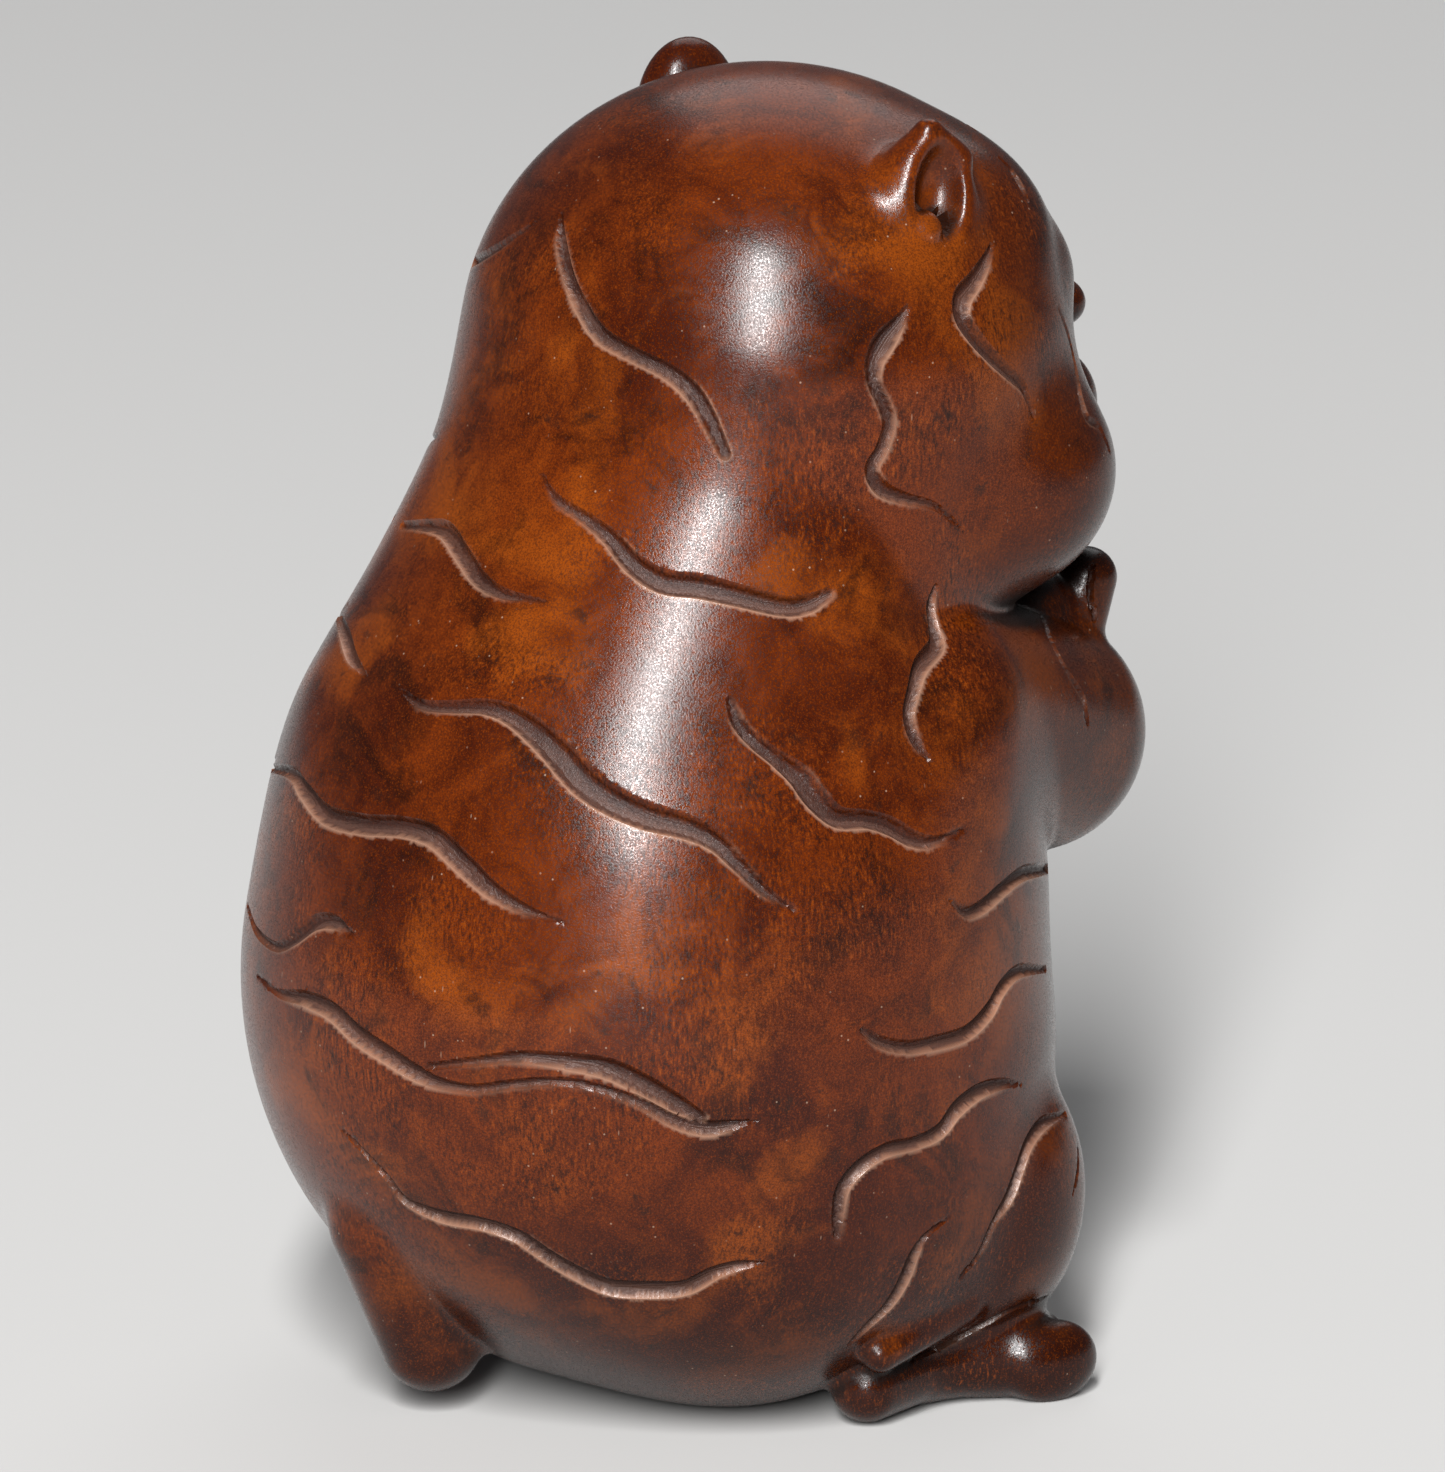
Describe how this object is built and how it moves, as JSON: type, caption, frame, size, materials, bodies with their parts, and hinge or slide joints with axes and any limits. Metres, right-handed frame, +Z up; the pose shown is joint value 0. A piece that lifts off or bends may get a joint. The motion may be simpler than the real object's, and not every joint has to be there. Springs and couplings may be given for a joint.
{
  "type": "boxwood cat carving",
  "caption": "Small solid boxwood carving of a sleeping striped cat sitting up, round-backed, with its forepaws folded under its chin and a flat base to stand on.",
  "frame": {"origin": "on the ground, under the middle of the body, in the flat underside", "axes": "+Z up along the figure's height; the cat faces -Y and its tail is towards +Y; its right side is towards -X"},
  "size_m": [0.0328, 0.0375, 0.053],
  "materials": {
    "boxwood": "hand-polished red-brown boxwood, darker patina in the cuts"
  },
  "bodies": {
    "root": {"cat_figure": "boxwood"}
  },
  "joints": []
}
